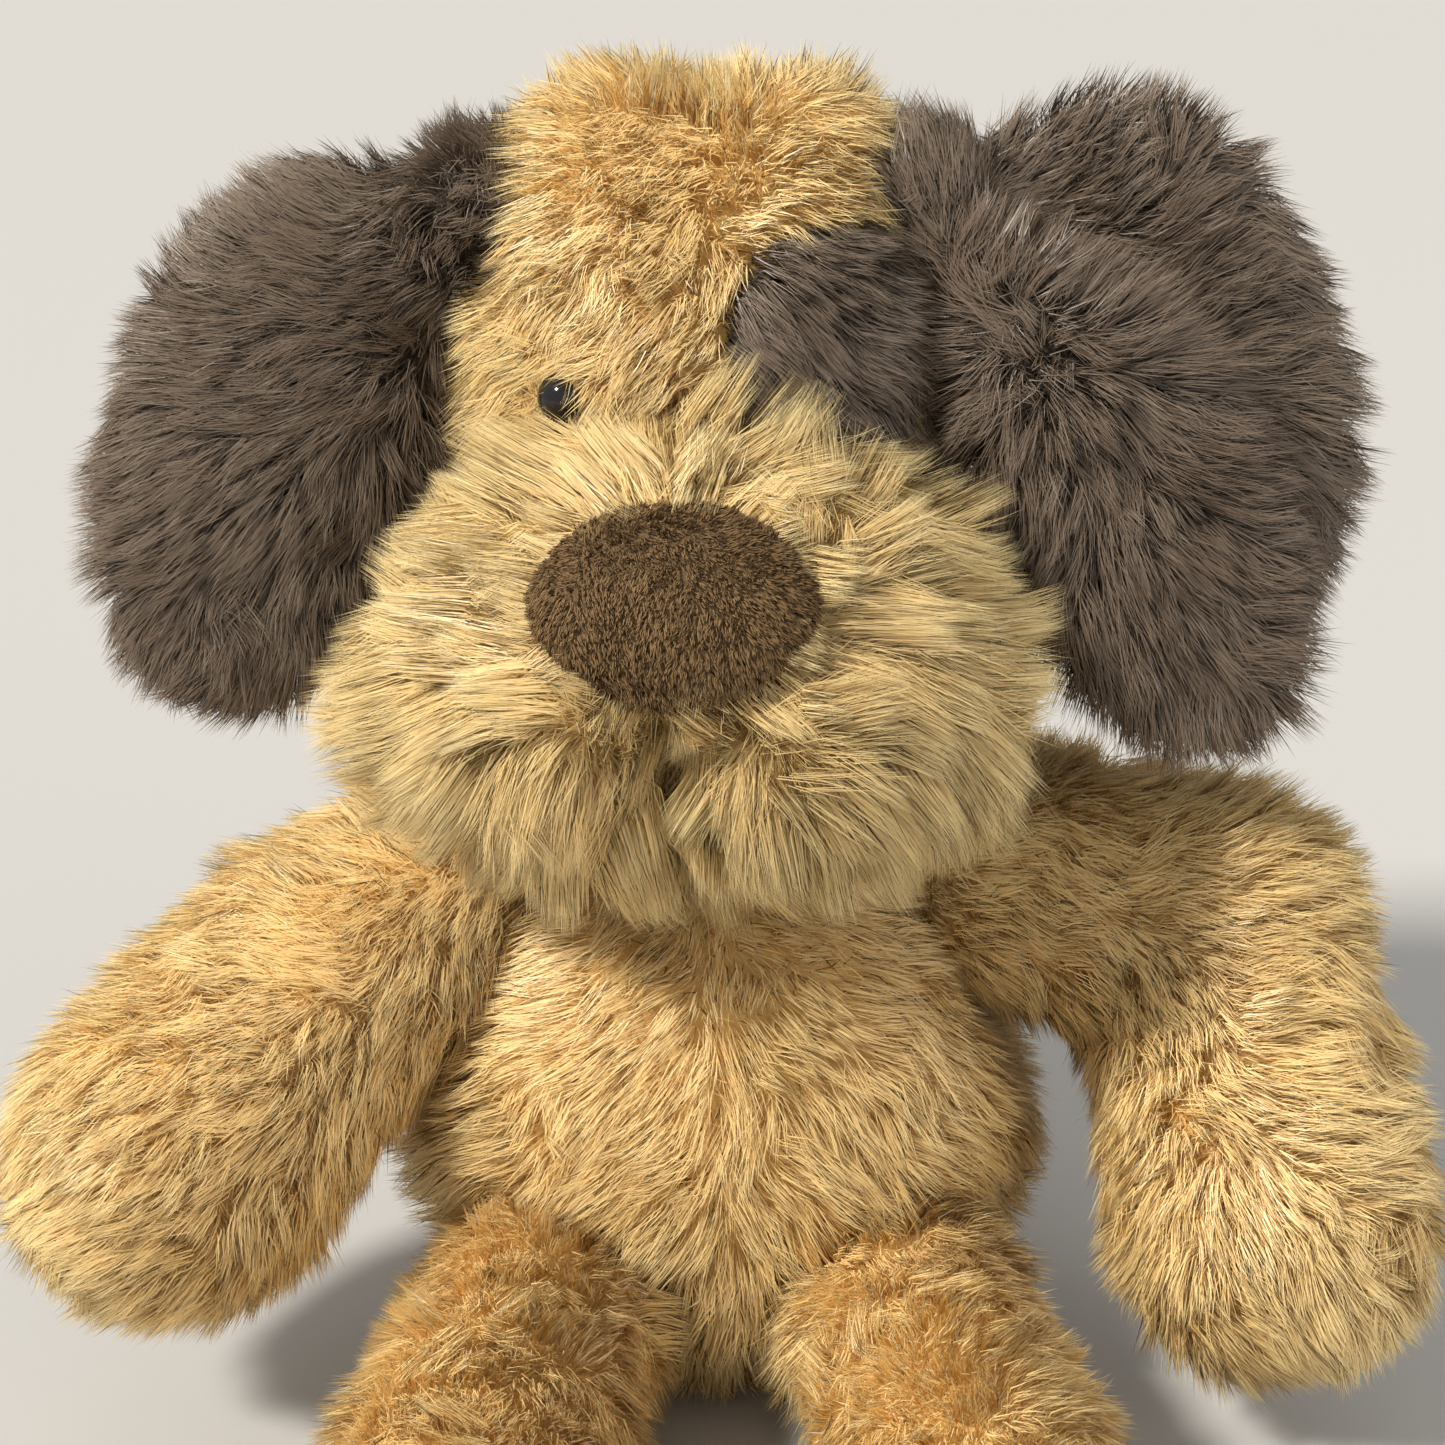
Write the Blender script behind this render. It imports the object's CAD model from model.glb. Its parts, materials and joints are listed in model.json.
# %% [markdown]
# # A plush dog, dressed in long pile fabric
# The CAD frame gives every piece its place. This lesson covers that frame with soft, stuffed
# skins, grows the pile on them, and lights the result. Each skin starts as a copy of the
# filling inside its piece, because the filling already has the right size and place.

# %% Open the frame
import json
import math

import bpy
import numpy as np
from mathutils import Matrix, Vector, noise
from mathutils.bvhtree import BVHTree
from mathutils.kdtree import KDTree


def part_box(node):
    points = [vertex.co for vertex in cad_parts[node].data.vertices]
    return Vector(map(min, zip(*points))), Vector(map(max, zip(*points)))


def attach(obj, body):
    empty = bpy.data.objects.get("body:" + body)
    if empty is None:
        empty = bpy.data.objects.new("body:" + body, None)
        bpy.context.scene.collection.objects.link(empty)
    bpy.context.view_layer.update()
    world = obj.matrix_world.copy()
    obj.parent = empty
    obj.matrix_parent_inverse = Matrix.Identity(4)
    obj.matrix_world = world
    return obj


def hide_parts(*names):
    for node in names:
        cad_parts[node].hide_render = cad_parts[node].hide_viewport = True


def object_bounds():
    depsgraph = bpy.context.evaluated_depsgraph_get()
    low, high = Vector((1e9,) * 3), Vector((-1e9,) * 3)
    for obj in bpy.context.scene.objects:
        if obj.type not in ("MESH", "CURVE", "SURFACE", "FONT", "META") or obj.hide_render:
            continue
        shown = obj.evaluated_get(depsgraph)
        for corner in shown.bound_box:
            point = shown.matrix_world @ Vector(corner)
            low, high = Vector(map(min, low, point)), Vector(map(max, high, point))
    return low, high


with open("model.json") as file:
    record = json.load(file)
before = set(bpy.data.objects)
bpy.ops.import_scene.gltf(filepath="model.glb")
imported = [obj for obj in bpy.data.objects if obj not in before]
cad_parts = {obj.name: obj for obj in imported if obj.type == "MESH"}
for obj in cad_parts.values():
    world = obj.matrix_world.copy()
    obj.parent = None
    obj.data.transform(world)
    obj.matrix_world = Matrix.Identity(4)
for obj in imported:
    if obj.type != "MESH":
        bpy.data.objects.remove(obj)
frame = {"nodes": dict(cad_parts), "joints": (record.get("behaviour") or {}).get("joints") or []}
cad_low, cad_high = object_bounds()
noise.seed_set(1)  # Blender seeds its smooth noise from the clock unless it is told a seed
scene = bpy.context.scene
MM = 0.001
print("CAD box in mm:", [round(v / MM) for v in cad_low], [round(v / MM) for v in cad_high])


# %% [markdown]
# ## Places on the dog
# The middle of a CAD node's box is a handy landmark. The pile is combed relative to these
# points: away from the nose on the muzzle, along a limb on the arms and legs, and away from
# the root on the ears.

# %% Landmarks
def middle(*nodes):
    """The middle of the box round some CAD nodes."""
    corners = [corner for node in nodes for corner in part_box(node)]
    low = Vector(map(min, zip(*corners)))
    high = Vector(map(max, zip(*corners)))
    return np.array((low + high) / 2)


def hinge(name):
    """The point that a joint turns about."""
    joint = next(j for j in frame["joints"] if j["name"] == name)
    return np.array(joint["pos_m"])


NOSE = middle("nose_cover")
NOSE_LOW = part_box("nose_cover")[0].z
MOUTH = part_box("chin")[1].z
PATCH = middle("eye_patch")
SKULL = middle("head_stuffing")
MUZZLE = middle("muzzle_stuffing")
print("nose", NOSE.round(3), "patch", PATCH.round(3), "skull", SKULL.round(3))


# %% [markdown]
# ## Stuffed skins
# On the real toy each piece is a knitted cover, sewn inside out, turned and stuffed. A skin
# is made the same way here: the filling's shape is copied, remeshed into even faces, drawn
# in a little, and then blown up as cloth. The seam is pinned, so the panels swell
# on both sides of it, and a cap stops a point from moving too far.

# %% Copy and remesh
VOXEL = 4.5 * MM  # size of a remeshed face
SAME_POINT = 0.01 * MM  # points nearer than this are one point


def alone(ob):
    """Make ob the one selected and active object."""
    if bpy.context.object and bpy.context.object.mode != "OBJECT":
        bpy.ops.object.mode_set(mode="OBJECT")
    bpy.ops.object.select_all(action="DESELECT")
    ob.select_set(True)
    bpy.context.view_layer.objects.active = ob


def link_mesh(name, mesh):
    ob = bpy.data.objects.new(name, mesh)
    scene.collection.objects.link(ob)
    return ob


def copied(name, nodes):
    """One new object from copies of CAD nodes, with doubled points merged."""
    parts = [link_mesh(name, frame["nodes"][node].data.copy()) for node in nodes]
    alone(parts[0])
    for part in parts:
        part.select_set(True)
    if len(parts) > 1:
        bpy.ops.object.join()
    blank = bpy.context.view_layer.objects.active
    alone(blank)
    bpy.ops.object.mode_set(mode="EDIT")
    bpy.ops.mesh.select_all(action="SELECT")
    bpy.ops.mesh.remove_doubles(threshold=SAME_POINT)
    bpy.ops.object.mode_set(mode="OBJECT")
    blank.data.materials.clear()
    return blank


def coords(ob):
    co = np.empty(len(ob.data.vertices) * 3)
    ob.data.vertices.foreach_get("co", co)
    return co.reshape(-1, 3)


def set_coords(ob, co):
    ob.data.vertices.foreach_set("co", co.astype(np.float32).ravel())
    ob.data.update()


def outer_shell(ob):
    """Keep only the biggest loose part, so that no inner wall stays."""
    alone(ob)
    bpy.ops.object.mode_set(mode="EDIT")
    bpy.ops.mesh.select_all(action="SELECT")
    bpy.ops.mesh.separate(type="LOOSE")
    bpy.ops.object.mode_set(mode="OBJECT")
    parts = list(bpy.context.selected_objects)
    biggest = max(parts, key=lambda part: part.dimensions.length)
    name = ob.name
    for part in parts:
        if part is not biggest:
            bpy.data.objects.remove(part)
    biggest.name = name
    return biggest


def remeshed(ob, voxel=VOXEL):
    """Even, closed faces all over."""
    alone(ob)
    modifier = ob.modifiers.new("even", "REMESH")
    modifier.mode = "VOXEL"
    modifier.voxel_size = voxel
    bpy.ops.object.modifier_apply(modifier=modifier.name)
    return outer_shell(ob)


def drawn_in(ob, depth, rounds=4):
    """Smooth the remeshed steps away and move every face inward."""
    alone(ob)
    bpy.ops.object.mode_set(mode="EDIT")
    bpy.ops.mesh.select_all(action="SELECT")
    bpy.ops.mesh.vertices_smooth(factor=0.5, repeat=rounds)
    bpy.ops.transform.shrink_fatten(value=-depth)
    bpy.ops.object.mode_set(mode="OBJECT")


# %% [markdown]
# ## Cutting the skins
# One helper makes every skin. It also notes the seam, the row of points that the plane
# through a given point passes. Two skins get a form first: the muzzle is full at the jowls
# and parted into two lips, and the head has a boxy crown. Thin pieces are drawn in further,
# so that the stuffing has room to round them.

# %% Cut the skins
LEAF = 3.0 * MM  # how far an ear panel is drawn in
SEAM_REACH = 0.55 * VOXEL
SKINS = {}


def cut_skin(name, nodes, depth, seam_at, seam_normal, dent=None):
    """A skin ready for stuffing; its seam is where the plane through a point cuts it."""
    skin = remeshed(copied(name, nodes))
    drawn_in(skin, depth)
    co = coords(skin)
    if dent is not None:
        co = dent(co)
        set_coords(skin, co)
    away = (co - np.array(seam_at)) @ np.array(seam_normal)
    sewn = [int(i) for i in np.flatnonzero(np.abs(away) < SEAM_REACH)]
    skin.vertex_groups.new(name="seam").add(sewn, 1.0, "REPLACE")
    SKINS[name] = skin
    print(name, len(co), "points,", len(sewn), "on the seam")


def unit(vectors):
    """The same directions, each one long."""
    return vectors / np.maximum(np.linalg.norm(vectors, axis=-1, keepdims=True), 1e-9)


def bell(distance, width):
    """One at no distance, falling smoothly to nothing beyond the width."""
    return np.exp(-((distance / width) ** 2))


def muzzle_form(co):
    """Narrow between the eyes and full at the jowls, parted below the nose into two lips,
    with a crease where the lips meet the chin."""
    low, high = co[:, 2].min(), co[:, 2].max()
    level = (co[:, 2] - low) / (high - low)
    across = co[:, 0] - MUZZLE[0]
    co = co.copy()
    co[:, 0] += across * np.interp(level, (0, 0.28, 0.6, 1), (0.0, 0.13, -0.1, -0.32))
    front = np.clip((MUZZLE[1] - co[:, 1]) / 0.02, 0, 1)
    below = np.clip((NOSE[2] - 0.010 - co[:, 2]) / 0.014, 0, 1)
    co[:, 1] += front * below * (0.024 * bell(co[:, 0] - NOSE[0], 0.0095)
                                 - 0.004 * bell(np.abs(co[:, 0] - NOSE[0]) - 0.026, 0.014))
    inward = unit(np.stack([MUZZLE[0] - co[:, 0], MUZZLE[1] - co[:, 1]], 1))
    crease = bell(co[:, 2] - MOUTH, 0.006) * front
    chin = np.clip((MOUTH - co[:, 2]) / 0.006, 0, 1) * front
    co[:, :2] += (0.009 * crease + 0.006 * chin)[:, None] * inward
    return co


def head_form(co):
    """A broad, boxy crown with a shallow gully along the seam between its two panels."""
    top = np.clip((co[:, 2] - SKULL[2]) / (co[:, 2].max() - SKULL[2]), 0, 0.97)
    across = co[:, 0] - SKULL[0]
    broader = np.minimum((1 - top**3) ** 0.42 / np.sqrt(1 - top**2), 1.32)
    co = co.copy()
    co[:, 0] += across * (broader - 1)
    co[:, 2] += 0.0035 * top * bell(np.abs(across) - 0.024, 0.014)
    co[:, 2] -= 0.005 * top * bell(across, 0.009)
    return co


MIDDLE, ACROSS, AHEAD, UP = (0, 0, 0), (1, 0, 0), (0, 1, 0), (0, 0, 1)
ALONG_ARM = (0, 0.85, 0.53)
cut_skin("torso_skin", ["torso_stuffing", "seat_panel"], 1 * MM, MIDDLE, ACROSS)
cut_skin("neck_skin", ["neck_stuffing"], 1 * MM, MIDDLE, ACROSS)
cut_skin("head_skin", ["head_stuffing"], 1.5 * MM, SKULL, ACROSS, head_form)
cut_skin("muzzle_skin", ["muzzle_stuffing"], 3 * MM, MUZZLE, ACROSS, muzzle_form)
cut_skin("ear_left_skin", ["ear_left_front", "ear_left_back"], LEAF,
         middle("ear_left_front", "ear_left_back"), AHEAD)
cut_skin("ear_right_back_skin", ["ear_right_back"], LEAF, middle("ear_right_back"), AHEAD)
cut_skin("ear_right_front_skin", ["ear_right_front"], LEAF, middle("ear_right_front"), AHEAD)
for side in ("left", "right"):
    cut_skin(f"arm_{side}_skin", [f"arm_{side}_stuffing"], 1 * MM,
             middle(f"arm_{side}_stuffing"), ALONG_ARM)
    cut_skin(f"leg_{side}_skin", [f"leg_{side}_stuffing"], 1 * MM,
             middle(f"leg_{side}_stuffing"), UP)
cut_skin("tail_skin", ["tail_stuffing"], 2.5 * MM, MIDDLE, ACROSS)


# %% [markdown]
# ## Stuffing them
# Blender's Cloth with pressure does what the fibre filling does. All the skins are blown up
# in the same twenty steps.

# %% Blow up
CAP = 3.0 * MM  # how far stuffing may push a point
PRESSURE = 4
STEPS = 20


def add_cloth(skin):
    """A cover that its filling pushes outward and whose seam stays put."""
    cloth = skin.modifiers.new("stuffing", "CLOTH")
    cloth.settings.use_pressure = True
    cloth.settings.uniform_pressure_force = PRESSURE
    cloth.settings.vertex_group_mass = "seam"
    cloth.settings.effector_weights.gravity = 0
    cloth.settings.quality = 4
    cloth.point_cache.frame_end = STEPS


def blow_up(skins):
    """Run the cloth on all the skins at once and keep the shapes it ends in."""
    rest = {name: coords(skin) for name, skin in skins.items()}
    for skin in skins.values():
        add_cloth(skin)
    scene.frame_start, scene.frame_end = 1, STEPS
    for step in range(1, STEPS + 1):
        scene.frame_set(step)
    for name, skin in skins.items():
        alone(skin)
        bpy.ops.object.modifier_apply(modifier="stuffing")
        move = coords(skin) - rest[name]
        far = np.linalg.norm(move, axis=1, keepdims=True)
        set_coords(skin, rest[name] + move * np.minimum(1, CAP / np.maximum(far, 1e-9)))
        print(name, "swelled by", round(float(far.max()) / MM, 1), "mm before the cap")
    scene.frame_set(1)


blow_up(SKINS)
for skin in SKINS.values():
    alone(skin)
    finer = skin.modifiers.new("finer", "SUBSURF")
    finer.levels = finer.render_levels = 1
    bpy.ops.object.modifier_apply(modifier=finer.name)
    bpy.ops.object.shade_smooth()


# %% [markdown]
# ## What each skin stands for
# A skin takes the place of its cover panels, its filling and whatever is sewn in behind
# them, and rides on the body that those pieces belong to. The number is how firmly the piece
# is filled: an ear holds little, the torso and the head are packed.

# %% Ride and replace
STANDS_FOR = {
    "torso_skin": ("torso", 0.7, ["torso_front_left", "torso_front_right", "torso_back_left",
                   "torso_back_right", "seat_panel", "torso_stuffing", "pellet_pouch",
                   "pellet_fill", "closing_stitch"]),
    "neck_skin": ("neck", 0.6, ["neck_cover", "neck_stuffing"]),
    "head_skin": ("head", 0.7, ["face_left", "face_right", "eye_patch", "head_back_left",
                  "head_back_right", "head_stuffing", "eye_washer_left", "eye_washer_right"]),
    "muzzle_skin": ("head", 0.7, ["lip_left", "lip_right", "chin", "muzzle_stuffing",
                    "mouth_stitch"]),
    "ear_left_skin": ("ear_left", 0.4, ["ear_left_front", "ear_left_back"]),
    "ear_right_back_skin": ("ear_right", 0.4, ["ear_right_back"]),
    "ear_right_front_skin": ("ear_right", 0.4, ["ear_right_front"]),
    "arm_left_skin": ("arm_left", 0.5, ["arm_left_front", "arm_left_back", "arm_left_stuffing"]),
    "arm_right_skin": ("arm_right", 0.5, ["arm_right_front", "arm_right_back",
                       "arm_right_stuffing"]),
    "leg_left_skin": ("leg_left", 0.6, ["leg_left_top", "leg_left_bottom", "sole_left",
                      "leg_left_stuffing"]),
    "leg_right_skin": ("leg_right", 0.6, ["leg_right_top", "leg_right_bottom", "sole_right",
                       "leg_right_stuffing"]),
    "tail_skin": ("tail", 0.6, ["tail_left", "tail_right", "tail_stuffing"]),
}
for name, (body, fill, nodes) in STANDS_FOR.items():
    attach(SKINS[name], body)
    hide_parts(*nodes)
    print(name, "stands for", len(nodes), "pieces on", body)


# %% [markdown]
# ## The pile
# Long pile is many thousands of fibres that lean one way and stick together in tufts. Hair
# curves would be the usual tool, but here every piece has to be a plain mesh, so each
# strand is a narrow ribbon of two triangles, widest at its middle and bent there. Strands
# near each other lean towards a shared guide, which makes the tufts.

# %% Sample a skin
def sampled(skin, count, rng):
    """Random points on a skin, even over its area, with their normals."""
    me = skin.data
    me.calc_loop_triangles()
    tri = np.empty(len(me.loop_triangles) * 3, np.int32)
    me.loop_triangles.foreach_get("vertices", tri)
    tri = tri.reshape(-1, 3)
    co = coords(skin)
    no = np.empty(len(me.vertices) * 3, np.float32)
    me.vertex_normals.foreach_get("vector", no)
    no = no.reshape(-1, 3)
    a, b, c = co[tri[:, 0]], co[tri[:, 1]], co[tri[:, 2]]
    area = np.linalg.norm(np.cross(b - a, c - a), axis=1)
    pick = rng.choice(len(tri), count, p=area / area.sum())
    u, v = rng.random((2, count, 1))
    flip = u + v > 1
    u, v = np.where(flip, 1 - u, u), np.where(flip, 1 - v, v)
    w = 1 - u - v
    corners = tri[pick]
    points = w * co[corners[:, 0]] + u * co[corners[:, 1]] + v * co[corners[:, 2]]
    normals = w * no[corners[:, 0]] + u * no[corners[:, 1]] + v * no[corners[:, 2]]
    return points, unit(normals)


def skin_area(skin):
    """Area of a skin in square metres."""
    return sum(p.area for p in skin.data.polygons)


# %% [markdown]
# ## Where strands may grow
# A strand that starts inside a neighbour would never be seen, as at a shoulder, so it is
# left out. A ray from a point inside a closed skin crosses that skin an odd number of times.

# %% Find buried points
SIGHT = Vector((0.31, 0.52, 0.79)).normalized()
STEP_ON = 0.01 * MM  # moves a ray's start past the face it has just hit
TREES = {name: BVHTree.FromObject(skin, bpy.context.evaluated_depsgraph_get())
         for name, skin in SKINS.items()}


def inside(tree, point):
    """Whether a point lies in a closed skin: a ray from it then leaves an odd number of times."""
    start, crossings = Vector(point), 0
    while crossings < 12:
        hit, _, _, _ = tree.ray_cast(start, SIGHT)
        if hit is None:
            break
        crossings += 1
        start = hit + SIGHT * STEP_ON
    return crossings % 2 == 1


def buried(points, neighbours):
    """Which points lie inside a neighbouring skin."""
    return np.array([any(inside(TREES[name], p) for name in neighbours) for p in points], bool)


# %% [markdown]
# ## Tufts
# Guides are scattered over the skin: broad ones a thumb's width apart and fine ones within
# them. Each guide has its own direction, lift, length and tone, and the strands nearest to
# it take after it. The direction comes from the combing, turned a little by smooth noise.

# %% Lay out the tufts
SWIRL_SIZE = 24 * MM  # how far apart the pile's swirls are
BEND = 0.45  # where along a strand its bend is


def flow_noise(points, scale, seed):
    """A smooth random direction for each point."""
    shift = Vector((seed * 3.1, seed * 1.7, seed * 2.3))
    return np.array([noise.noise_vector(Vector(p) / scale + shift) for p in points])


def nearest(points, centres):
    """For each point, the number of the nearest centre."""
    tree = KDTree(len(centres))
    for i, centre in enumerate(centres):
        tree.insert(centre, i)
    tree.balance()
    return np.array([tree.find(p)[1] for p in points])


def flat_on(directions, normals):
    """Directions laid flat on the skin."""
    return unit(directions - normals * np.sum(directions * normals, 1, keepdims=True))


def swept(roots, normals, flow, angles, long):
    """Middle and tip of strands that lean by two angles from the normal towards their flow."""
    near, far = (a[:, None] for a in angles)
    mid = roots + long * BEND * (normals * np.cos(near) + flow * np.sin(near))
    tip = mid + long * (1 - BEND) * (normals * np.cos(far) + flow * np.sin(far))
    return mid, tip


def tufts(roots, normals, comb, each, rng, seed, swirl, lift, length):
    """Guides on the skin that share out the strands: place, normal, flow, lift and length."""
    pick = rng.choice(len(roots), max(6, len(roots) // each), replace=False)
    place, normal = roots[pick], normals[pick]
    flow = unit(comb(place, normal)) + swirl * flow_noise(place, SWIRL_SIZE, seed)
    flow = flat_on(flow + 0.3 * rng.normal(size=place.shape), normal)
    return dict(place=place, normal=normal, flow=flow, lift=rng.uniform(-lift, lift, len(pick)),
                length=length(place) * rng.uniform(0.85, 1.12, len(pick)),
                tone=rng.random(len(pick)))


def gathered(mid, tip, roots, guide, mine, lean, long, pull, spread):
    """Strands drawn towards the line of their guide, keeping a share of their spread."""
    place, normal, flow = (guide[key][mine] for key in ("place", "normal", "flow"))
    angles = [a + guide["lift"][mine] for a in lean]
    offset = (roots - place) * spread
    guide_mid, guide_tip = swept(place, normal, flow, angles, long)
    mid = mid + 0.5 * pull * (guide_mid + offset - mid)
    tip = tip + pull * (guide_tip + offset - tip)
    return mid, tip


# %% [markdown]
# ## Growing the strands
# A strand starts at a random point of the skin, leans over by two angles, and is drawn
# towards its fine guide and then towards its broad one. Strands of uneven length keep the
# tufts frayed. Short upright strands below them hide the knitted backing.

# %% Grow strands
MOST = 75000  # strands in one piece
DRIFT_SIZE = 45 * MM  # how far apart the lighter and darker places are
FLOOR = 0.6 * MM  # no strand reaches below this height
BAKE_MAP = "OFBake"  # the UV map that a colour bake of the exported model goes by
UV_HALF = 0.01  # half the width of a strand in that map


def grown(name, skin, comb, length, seed, dense=1.6, width=0.28 * MM, lean=(0.45, 1.0),
          swirl=0.9, stick=0.5, only=None, neighbours=(), big=260, small=26, under=0.45,
          shock=0.3, ruffle=0.35, rough=0.32):
    """A pile mesh on a skin.

    comb gives the direction that strands lean in, and length their length. dense is strands
    per square millimetre, and lean their angles from the normal at the root and at the tip.
    big and small are the strands in a broad and a fine tuft, shock and stick how strongly
    those tufts gather, ruffle how unevenly broad tufts stand up, swirl how far their
    direction wanders, rough how loose single strands are, and under the share of short
    strands."""
    rng = np.random.default_rng(seed)
    count = int(skin_area(skin) / MM**2 * dense)
    roots, normals = sampled(skin, count, rng)
    if only is not None:
        keep = only(roots, normals)
        roots, normals = roots[keep], normals[keep]
    broad = tufts(roots, normals, comb, big, rng, seed, swirl, ruffle, length)
    mine = nearest(roots, broad["place"])
    shown = ~buried(broad["place"] + 1.5 * MM * broad["normal"], neighbours)[mine]
    roots, normals, mine = roots[shown][:MOST], normals[shown][:MOST], mine[shown][:MOST]
    fine = tufts(roots, normals, comb, small, rng, seed, swirl, 0.3, length)
    owner = nearest(fine["place"], broad["place"])
    fine["flow"] = flat_on(0.5 * fine["flow"] + 0.65 * broad["flow"][owner]
                           + rough * rng.normal(size=fine["flow"].shape), fine["normal"])
    fine["lift"] += broad["lift"][owner]
    lock = nearest(roots, fine["place"])
    n = len(roots)
    flow = flat_on(fine["flow"][lock] + rough * rng.normal(size=(n, 3)), normals)
    long = (broad["length"][mine] * (1.1 - 0.5 * rng.random(n) ** 1.6))[:, None]
    lift = fine["lift"][lock]
    angles = [a + lift + rng.normal(size=n) * 0.17 for a in lean]
    mid, tip = swept(roots, normals, flow, angles, long)
    pull = (stick * rng.uniform(0.2, 1.5, n))[:, None].clip(0, 0.95)
    mid, tip = gathered(mid, tip, roots, fine, lock, lean, long, pull, 0.3)
    pull = (shock * (0.5 + pull)).clip(0, 0.85)
    mid, tip = gathered(mid, tip, roots, broad, mine, lean, long, pull, 0.65)
    drift = 0.5 + flow_noise(broad["place"], DRIFT_SIZE, seed + 40)[mine, 0]
    tone = (0.25 * broad["tone"][mine] + 0.25 * fine["tone"][lock] + 0.3 * rng.random(n)
            + 0.2 * drift).clip(0, 1)
    first = under_pile(roots, normals, flow, length, dense * under, rng)
    pile = ribbon_mesh(name, roots, mid, tip, normals, tone, width, rng, first)
    print(name, n, "strands,", len(pile.data.polygons), "faces")
    return pile


def under_pile(roots, normals, flow, length, dense, rng):
    """Short upright strands that fill the ground between the long ones: root, tip, normal."""
    pick = rng.permutation(len(roots))[: int(len(roots) * min(dense, 0.5))]
    n = len(pick)
    root = roots[pick] + 0.5 * MM * rng.normal(size=(n, 3))
    angle = rng.uniform(0.3, 0.9, (n, 1))
    way = flat_on(flow[pick] + 0.5 * rng.normal(size=(n, 3)), normals[pick])
    rise = (length(root) * rng.uniform(0.4, 0.62, n))[:, None]
    tip = root + rise * (normals[pick] * np.cos(angle) + way * np.sin(angle))
    return root, tip, normals[pick]


def ribbon_mesh(name, roots, mid, tip, normals, tone, width, rng, under):
    """One mesh of four-point ribbons, and of three-point ones for the under pile. Its points
    know how far along their strand they are (0 root, 1 tip) and the strand's tone. The UV
    map spreads the same two numbers over a square, so a colour bake has room for them."""
    n = len(roots)
    for part in (mid, tip):
        part[:, 2] = np.maximum(part[:, 2], FLOOR)
    face = unit(normals + 0.7 * rng.normal(size=(n, 3)))
    high = unit(np.cross(tip - mid, face)) * width / 2
    verts = np.stack([roots, mid - high, mid + high, tip], 1).reshape(-1, 3)
    out = unit(np.cross(high, tip - mid))
    out *= np.where(np.sum(out * normals, 1, keepdims=True) < 0, -1, 1)
    shade = np.repeat(unit(0.7 * normals + 0.45 * out), 4, axis=0)
    first = np.arange(n) * 4
    loops = np.stack([first, first + 2, first + 1, first + 1, first + 2, first + 3], 1).ravel()
    along = np.tile([0, 0.5, 0.5, 1], n)
    tones = np.repeat(tone, 4)
    across = np.tile([0, -UV_HALF, UV_HALF, 0], n)
    root, top, normal = under
    m = len(root)
    top[:, 2] = np.maximum(top[:, 2], FLOOR)
    face = unit(normal + 0.7 * rng.normal(size=(m, 3)))
    side = unit(np.cross(top - root, face)) * width * 0.7
    verts = np.vstack([verts, np.stack([root - side, root + side, top], 1).reshape(-1, 3)])
    shade = np.vstack([shade, np.repeat(normal, 3, axis=0)])
    loops = np.concatenate([loops, n * 4 + np.arange(m * 3)])
    along = np.concatenate([along, np.tile([0, 0, 0.55], m)])
    tones = np.concatenate([tones, np.repeat(rng.random(m), 3)])
    across = np.concatenate([across, np.tile([-UV_HALF, UV_HALF, 0], m)])
    starts = np.arange(0, len(loops), 3)
    me = bpy.data.meshes.new(name)
    me.vertices.add(len(verts))
    me.vertices.foreach_set("co", verts.astype(np.float32).ravel())
    me.loops.add(len(loops))
    me.loops.foreach_set("vertex_index", loops.astype(np.int32))
    me.polygons.add(len(starts))
    me.polygons.foreach_set("loop_start", starts.astype(np.int32))
    me.update()
    me.validate()
    for key, values in (("along", along), ("tone", tones)):
        attribute = me.attributes.new(key, "FLOAT", "POINT")
        attribute.data.foreach_set("value", values.astype(np.float32))
    spread = np.stack([(tones + across).clip(0, 1), along], 1)[loops]
    me.uv_layers.new(name=BAKE_MAP).data.foreach_set("uv", spread.astype(np.float32).ravel())
    me.polygons.foreach_set("use_smooth", np.ones(len(starts), bool))
    me.normals_split_custom_set_from_vertices(shade.astype(np.float32))
    return link_mesh(name, me)


# %% [markdown]
# ## Which way the pile lies
# The muzzle's pile stands away from the nose like a ruff. The head's pile falls down and out
# from the middle seam, the body's flows from the front seam to the sides, and a limb's runs
# along it.

# %% Combing
PATCH_RADIUS = 23 * MM


def away_from(point):
    """Combed straight away from a point."""
    return lambda p, n: p - np.asarray(point)


def towards(direction):
    """Combed one way all over."""
    return lambda p, n: np.tile(np.asarray(direction, float), (len(p), 1))


def head_comb(p, n):
    """Over the crown it falls forward or back from the top, and parts at the middle seam."""
    side = np.clip((p[:, 0] - SKULL[0]) / 0.012, -1, 1)
    top = np.clip((n[:, 2] - 0.35) / 0.4, 0, 1)
    ahead = np.sign(p[:, 1] - SKULL[1])
    parting = side * (0.9 * np.exp(-np.abs(p[:, 0] - SKULL[0]) / 0.015) + 0.25 * top)
    return np.stack([parting - 0.25 * (1 - top) * (side > 0), ahead * top, top - 1.1], 1)


def torso_comb(p, n):
    """Down and out from the middle seam."""
    side = np.clip(p[:, 0] / 0.012, -1, 1)
    front = n[:, 1] < 0
    out = side * np.where(front, 0.9, 0.3)
    return np.stack([out, np.zeros(len(p)), np.full(len(p), -0.75)], 1)


def ear_comb(root, point):
    """From the ear's root outward, spreading to its rim."""
    return lambda p, n: 0.8 * unit(p - np.asarray(root)) + 0.5 * unit(p - np.asarray(point))


def even(millimetres):
    """The same length all over."""
    return lambda p: np.full(len(p), millimetres * MM)


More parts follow.
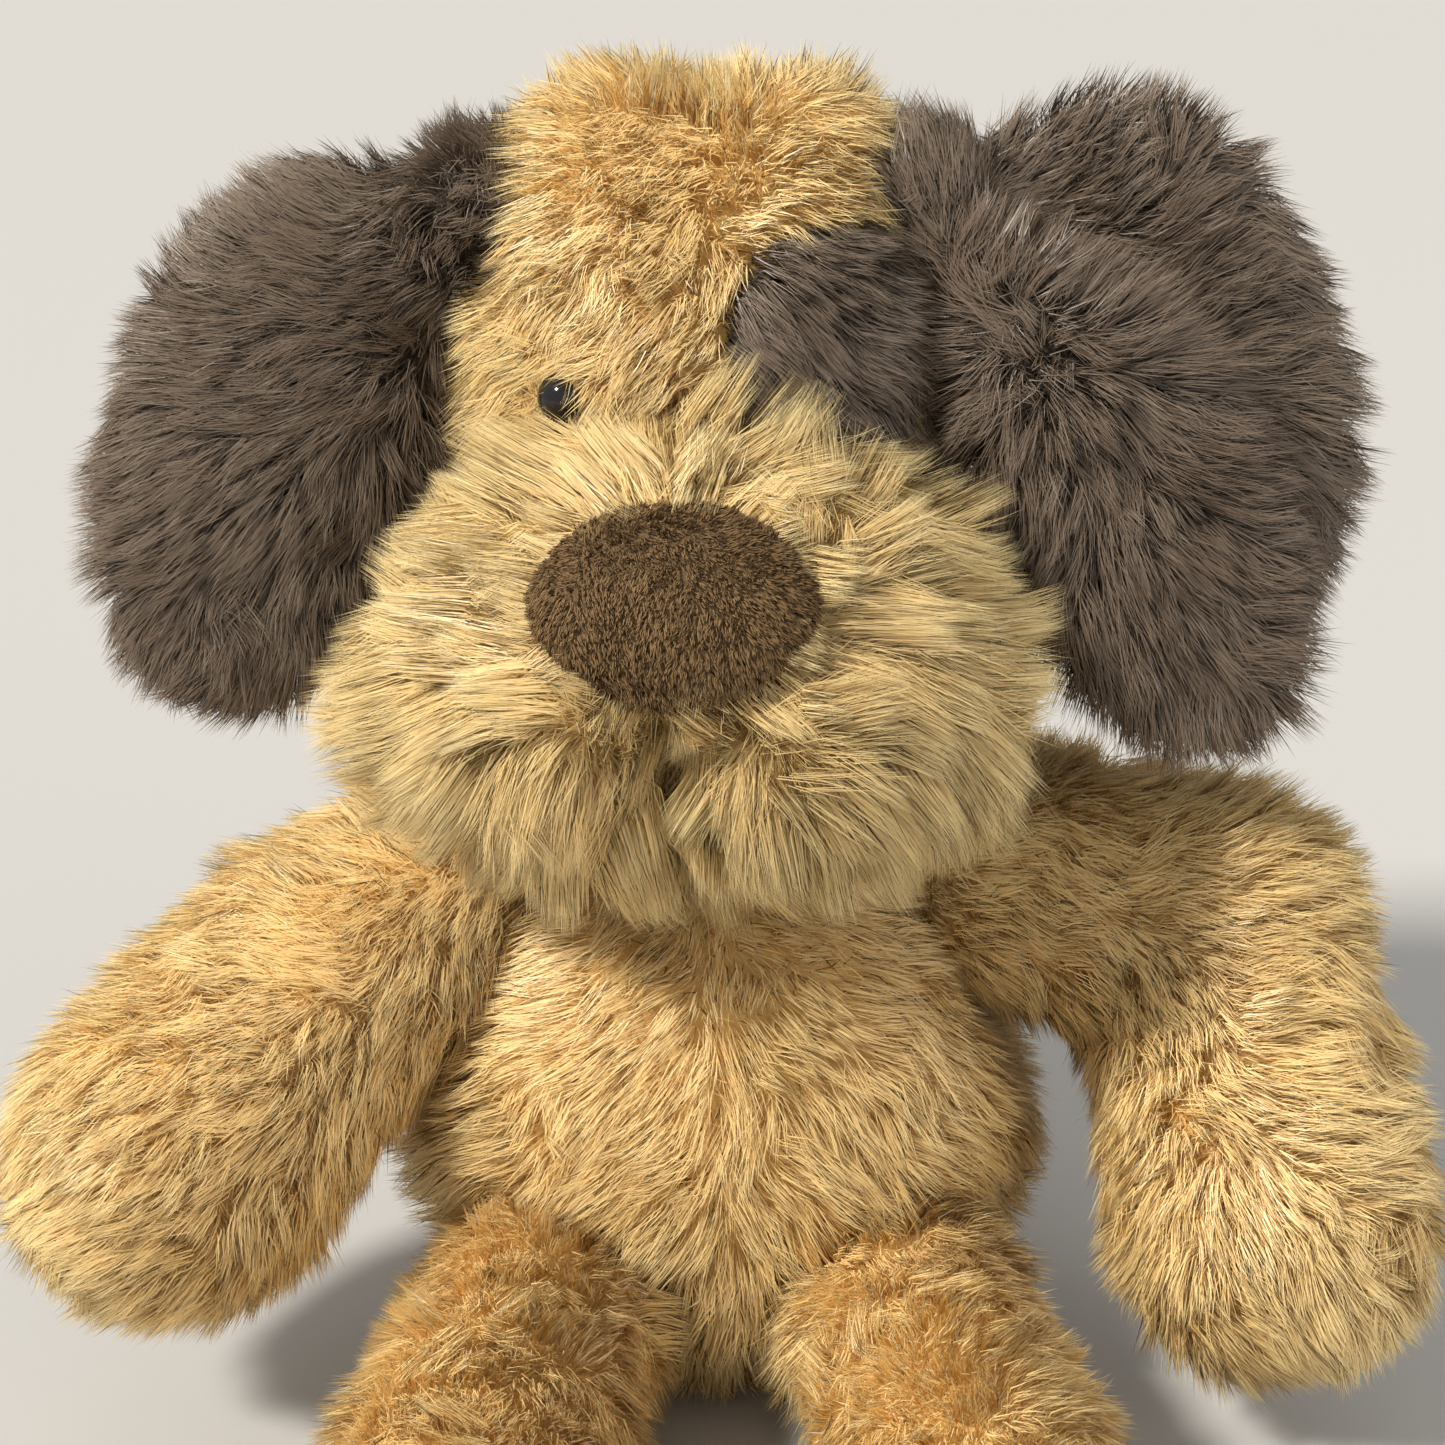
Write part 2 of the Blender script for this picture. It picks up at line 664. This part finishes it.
def muzzle_comb(p, n):
    """Away from the nose and falling at the sides, lapped up over the nose's lower edge, and
    parted along the mouth."""
    out = unit(p - NOSE)
    across = p[:, 0] - NOSE[0]
    side = np.clip(across / 0.003, -1, 1)
    wide = np.clip(np.abs(across) / 0.03, 0, 1)
    out[:, 2] -= wide * np.clip((p[:, 2] - NOSE[2] + 0.012) / 0.02, 0, 1) + 0.25
    below = np.clip((NOSE_LOW - p[:, 2]) / 0.01, 0, 1)
    out[:, 0] += 1.5 * side * below * bell(across, 0.02)
    up = np.stack([0.7 * side, 0 * side, 0 * side + 1.0], 1)
    lap = lapping(p)[:, None]
    return (1 - lap) * out + 2 * lap * up


def lapping(p):
    """Where the muzzle's pile laps up over the lower edge of the nose."""
    return bell(p[:, 2] - NOSE_LOW + 0.002, 0.006) * bell(p[:, 0] - NOSE[0], 0.022)


def lobe_comb(p, n):
    """The front lobe's pile spreads from a whorl high on its face."""
    whorl = middle("ear_right_front") + np.array([-0.006, -0.02, 0.012])
    return 0.9 * unit(p - whorl) + np.array([0.2, 0, -0.35])


def muzzle_length(p):
    """Shorter beside the nose and in the mouth, longest on the ruff."""
    far = np.linalg.norm(p - NOSE, axis=1)
    below = np.clip((NOSE_LOW - p[:, 2]) / 0.01, 0, 1)
    mouth = below * bell(p[:, 0] - NOSE[0], 0.010) * (p[:, 2] > MOUTH)
    ruff = 15 + 8 * np.clip((far - 0.022) / 0.02, 0, 1)
    return (ruff * (1 - 0.55 * mouth) + 6 * lapping(p)) * MM


def in_patch(p, n):
    """Whether points are in the dark panel round the eye."""
    return (np.linalg.norm(p - PATCH, axis=1) < PATCH_RADIUS) & (n[:, 1] < 0)


# %% [markdown]
# ## A pile for every skin
# The numbers follow the fabric: short and upright on the head, long and in broad separate
# tufts on the muzzle, and of middle length elsewhere. The muzzle's pile is two pieces, one
# on each lip, so that neither mesh grows too large.

# %% Grow it all
PILES = {}


def pile_on(name, skin, body, material, **how):
    """Grow a pile on a skin, to ride on the same body."""
    pile = grown(name, SKINS[skin], **how)
    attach(pile, body)
    PILES[name] = (pile, material)


ear_left_root = hinge("ear_left_lift")
ear_right_root = hinge("ear_right_lift")
pile_on("head_pile", "head_skin", "head", "tan", comb=head_comb, length=even(13), seed=1,
        dense=3.0, only=lambda p, n: ~in_patch(p, n), lean=(0.3, 0.8), rough=0.42,
        neighbours=("muzzle_skin", "neck_skin", "ear_left_skin", "ear_right_front_skin"))
pile_on("patch_pile", "head_skin", "head", "brown", comb=towards((0.7, 0, -0.6)),
        length=even(14), seed=2, dense=5.0, lean=(0.2, 0.8), only=in_patch,
        neighbours=("muzzle_skin",))
for number, (half, sign) in enumerate((("left", -1), ("right", 1))):
    pile_on(f"muzzle_{half}_pile", "muzzle_skin", "head", "cream", comb=muzzle_comb,
            only=lambda p, n: sign * (p[:, 0] - NOSE[0]) > 0, length=muzzle_length,
            seed=3 + 20 * number, dense=6.0, width=0.24 * MM, lean=(0.25, 0.85), big=300,
            small=40, swirl=1.4, shock=0.75, ruffle=0.6, rough=0.24,
            neighbours=("head_skin", "neck_skin"))
pile_on("ear_left_pile", "ear_left_skin", "ear_left", "brown",
        comb=ear_comb(ear_left_root, middle("ear_left_front", "ear_left_back")),
        length=even(14), seed=4, dense=3.4, neighbours=("head_skin",))
pile_on("ear_right_back_pile", "ear_right_back_skin", "ear_right", "brown",
        comb=ear_comb(ear_right_root, middle("ear_right_back")),
        length=even(14), seed=5, dense=2.8, neighbours=("head_skin", "ear_right_front_skin"))
pile_on("ear_right_front_pile", "ear_right_front_skin", "ear_right", "brown",
        comb=lobe_comb,
        length=even(15), seed=6, dense=3.6, neighbours=("head_skin", "ear_right_back_skin"))
pile_on("torso_pile", "torso_skin", "torso", "tan", comb=torso_comb, length=even(13), seed=7,
        dense=2.0, only=lambda p, n: n[:, 2] > -0.9,
        neighbours=("neck_skin", "arm_left_skin", "arm_right_skin", "leg_left_skin",
                    "leg_right_skin", "tail_skin"))
pile_on("neck_pile", "neck_skin", "neck", "tan", comb=towards((0, 0.2, -1)), length=even(12),
        seed=14, dense=3.0, neighbours=("head_skin", "torso_skin", "muzzle_skin"))
for number, side in enumerate(("left", "right")):
    shoulder = hinge(f"arm_{side}_swing")
    hip = hinge(f"leg_{side}_swing")
    pile_on(f"arm_{side}_pile", f"arm_{side}_skin", f"arm_{side}", "tan",
            comb=away_from(shoulder), length=even(14), seed=8 + number, dense=2.5,
            neighbours=("torso_skin",))
    pile_on(f"leg_{side}_pile", f"leg_{side}_skin", f"leg_{side}", "tan",
            comb=away_from(hip), length=even(13), seed=10 + number, dense=2.3,
            neighbours=("torso_skin",))
tail_root = hinge("tail_wag")
pile_on("tail_pile", "tail_skin", "tail", "tan", comb=away_from(tail_root), length=even(13),
        seed=12, dense=2.2, neighbours=("torso_skin",))


# %% [markdown]
# ## Nose
# The nose is a flat oval pad in velour, narrower at its lower end. Its nap is the same kind
# of pile, only about two millimetres long.

# %% Make the nose
NOSE_VOXEL = 1.6 * MM
NOSE_TAPER = 0.3  # how much of its width the lower end loses

nose = remeshed(copied("nose_pad", ["nose_stuffing", "nose_cover"]), NOSE_VOXEL)
drawn_in(nose, 0.6 * MM, 6)
co = coords(nose)
lower = np.clip((NOSE[2] - co[:, 2]) / (NOSE[2] - NOSE_LOW), 0, 1)
co[:, 0] -= (co[:, 0] - NOSE[0]) * NOSE_TAPER * lower**1.5
set_coords(nose, co)
alone(nose)
bpy.ops.object.shade_smooth()
SKINS["nose_pad"] = nose
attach(nose, "head")
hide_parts("nose_stuffing", "nose_cover")
nap = grown("nose_nap", nose, comb=towards((0.1, 0, -1)), length=even(2.2), seed=20, dense=7,
            small=12, big=90, width=0.28 * MM, lean=(0.3, 0.8), swirl=1.2)
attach(nap, "head")
PILES["nose_nap"] = (nap, "velour")


# %% [markdown]
# ## Materials
# A strand is darker at its root, where other strands shade it, and lighter at its
# tip. Every tuft has its own tone, and the darker tones are a little warmer. The fibres let
# some light through, which a Translucent shader adds.

# %% Pile colour group
def pile_group():
    """Root and tip colours mixed along a strand, then warmed and shaded by its tone."""
    group = bpy.data.node_groups.new("pile_colour", "ShaderNodeTree")
    for word in ("Root", "Tip", "Warm"):
        group.interface.new_socket(word, in_out="INPUT", socket_type="NodeSocketColor")
    group.interface.new_socket("Color", in_out="OUTPUT", socket_type="NodeSocketColor")
    nodes, links = group.nodes, group.links
    inside, outside = nodes.new("NodeGroupInput"), nodes.new("NodeGroupOutput")
    along = nodes.new("ShaderNodeAttribute")
    along.attribute_name = "along"
    tone = nodes.new("ShaderNodeAttribute")
    tone.attribute_name = "tone"
    base = nodes.new("ShaderNodeMix")
    base.data_type = "RGBA"
    links.new(along.outputs["Fac"], base.inputs["Factor"])
    links.new(inside.outputs["Root"], base.inputs["A"])
    links.new(inside.outputs["Tip"], base.inputs["B"])
    spread = nodes.new("ShaderNodeMapRange")
    spread.inputs["From Min"].default_value = 0.6
    spread.inputs["From Max"].default_value = 0.3
    links.new(tone.outputs["Fac"], spread.inputs["Value"])
    warm = nodes.new("ShaderNodeMix")
    warm.data_type = "RGBA"
    warm.blend_type = "MULTIPLY"
    links.new(spread.outputs["Result"], warm.inputs["Factor"])
    links.new(base.outputs["Result"], warm.inputs["A"])
    links.new(inside.outputs["Warm"], warm.inputs["B"])
    value = nodes.new("ShaderNodeMapRange")
    value.inputs["To Min"].default_value = 0.78
    value.inputs["To Max"].default_value = 1.2
    links.new(tone.outputs["Fac"], value.inputs["Value"])
    shade = nodes.new("ShaderNodeVectorMath")
    shade.operation = "SCALE"
    links.new(warm.outputs["Result"], shade.inputs[0])
    links.new(value.outputs["Result"], shade.inputs["Scale"])
    links.new(shade.outputs["Vector"], outside.inputs["Color"])
    return group


PILE_COLOUR = pile_group()


# %% [markdown]
# ## The fabrics
# Tan for the body and the head, cream for the muzzle, dark brown for the ears and the
# patch, and velour for the nose. Each has a plain knitted backing of the same colour, which
# shows only where the pile parts. The eyes are glossy black plastic.

# %% Make the fabrics and dress the dog
def pile_material(name, root, tip, warm, rough=0.36, gloss=0.5, sheen=0.1, glow=0.3):
    """A pile's finish. glow is the share of the surface that lets light through."""
    material = bpy.data.materials.new(name)
    material.use_nodes = True
    nodes, links = material.node_tree.nodes, material.node_tree.links
    shader = nodes["Principled BSDF"]
    colour = nodes.new("ShaderNodeGroup")
    colour.node_tree = PILE_COLOUR
    for word, value in (("Root", root), ("Tip", tip), ("Warm", warm)):
        colour.inputs[word].default_value = (*value, 1)
    links.new(colour.outputs["Color"], shader.inputs["Base Color"])
    shader.inputs["Roughness"].default_value = rough
    shader.inputs["Specular IOR Level"].default_value = gloss
    shader.inputs["Sheen Weight"].default_value = sheen
    through = nodes.new("ShaderNodeBsdfTranslucent")
    links.new(colour.outputs["Color"], through.inputs["Color"])
    both = nodes.new("ShaderNodeMixShader")
    both.inputs["Fac"].default_value = glow
    links.new(shader.outputs["BSDF"], both.inputs[1])
    links.new(through.outputs["BSDF"], both.inputs[2])
    links.new(both.outputs["Shader"], nodes["Material Output"].inputs["Surface"])
    return material


def plain_material(name, colour, rough):
    """One colour and one roughness."""
    material = bpy.data.materials.new(name)
    material.use_nodes = True
    shader = material.node_tree.nodes["Principled BSDF"]
    shader.inputs["Base Color"].default_value = (*colour, 1)
    shader.inputs["Roughness"].default_value = rough
    return material


PILE = {
    "tan": pile_material("tan_pile", (0.86, 0.575, 0.205), (0.98, 0.82, 0.45), (1.0, 0.94, 0.84)),
    "cream": pile_material("cream_pile", (0.74, 0.51, 0.19), (0.95, 0.79, 0.43),
                           (1.0, 0.95, 0.87)),
    "brown": pile_material("brown_pile", (0.085, 0.064, 0.045), (0.32, 0.245, 0.18),
                           (0.9, 0.83, 0.78), sheen=0.05),
    "velour": pile_material("nose_velour", (0.12, 0.073, 0.031), (0.38, 0.24, 0.112),
                            (0.85, 0.8, 0.75), rough=0.7, gloss=0.2, sheen=0.05),
}
KNIT = {
    "tan": plain_material("tan_backing", (0.62, 0.39, 0.13), 0.9),
    "cream": plain_material("cream_backing", (0.7, 0.48, 0.19), 0.9),
    "brown": plain_material("brown_backing", (0.06, 0.044, 0.03), 0.9),
    "velour": plain_material("nose_backing", (0.12, 0.073, 0.031), 0.9),
}


def dress(ob, material):
    """Give a piece its one material and the record's slot for it."""
    ob.data.materials.clear()
    ob.data.materials.append(material)


for pile, kind in PILES.values():
    dress(pile, PILE[kind])
for name, skin in SKINS.items():
    kind = ("brown" if name.startswith("ear") else "cream" if name.startswith("muzzle")
            else "velour" if name.startswith("nose") else "tan")
    dress(skin, KNIT[kind])
eye_black = plain_material("eye_black", (0.008, 0.007, 0.007), 0.08)
for node in ("eye_left", "eye_right"):
    bead = frame["nodes"][node]
    bead.data.materials.clear()
    bead.data.materials.append(eye_black)


# %% [markdown]
# ## Floor and light
# A plain pale floor, a wide sun from the upper left, a weak disc of light from the right and
# an even, nearly white sky. The sun is nine degrees across, so that its shadows are soft.

# %% Stage
bpy.ops.mesh.primitive_plane_add(size=1, location=(0, 0.2, 0))
floor = bpy.context.object
floor.name = "floor"
floor.scale = (6, 6, 1)
bpy.ops.object.transform_apply(scale=True)
floor.data.materials.append(plain_material("pale_floor", (0.5, 0.494, 0.48), 0.8))


def placed_light(light, place, facing):
    """Put a light at a place, facing a direction."""
    ob = bpy.data.objects.new(light.name, light)
    ob.location = place
    ob.rotation_euler = Vector(facing).to_track_quat("-Z", "Y").to_euler()
    scene.collection.objects.link(ob)


sun = bpy.data.lights.new("key", "SUN")
sun.energy = 4.1
sun.angle = math.radians(9)
sun.color = (1.0, 0.955, 0.88)
placed_light(sun, (0, 0, 0), (0.62, 0.52, -0.78))
lamp = bpy.data.lights.new("fill", "AREA")
lamp.shape = "DISK"
lamp.size = 1.0
lamp.energy = 4
FILL_PLACE = Vector((1.1, -1.0, 0.6))
placed_light(lamp, FILL_PLACE, (cad_low + cad_high) / 2 - FILL_PLACE)
world = bpy.data.worlds.new("studio")
world.use_nodes = True
sky = world.node_tree.nodes["Background"]
sky.inputs["Color"].default_value = (1.0, 0.985, 0.96, 1)
sky.inputs["Strength"].default_value = 0.58
scene.world = world
scene.view_settings.view_transform = "Standard"

# %% [markdown]
# ## Camera
# It looks slightly down on the dog from straight ahead, close enough that the lower legs
# leave the picture. The lens is set by how wide a strip the picture shows at the aim.

# %% Camera
AIM = Vector((0.0, -0.060, 0.178))
ELEVATION = math.radians(22)
DISTANCE = 0.60
WIDTH_SHOWN = 0.289
camera = bpy.data.objects.new("camera", bpy.data.cameras.new("camera"))
scene.collection.objects.link(camera)
camera.location = AIM + DISTANCE * Vector((0, -math.cos(ELEVATION), math.sin(ELEVATION)))
camera.rotation_euler = (AIM - camera.location).to_track_quat("-Z", "Y").to_euler()
camera.data.sensor_width = 36
camera.data.lens = camera.data.sensor_width * DISTANCE / WIDTH_SHOWN
camera.data.clip_start, camera.data.clip_end = 0.01, 20
scene.camera = camera
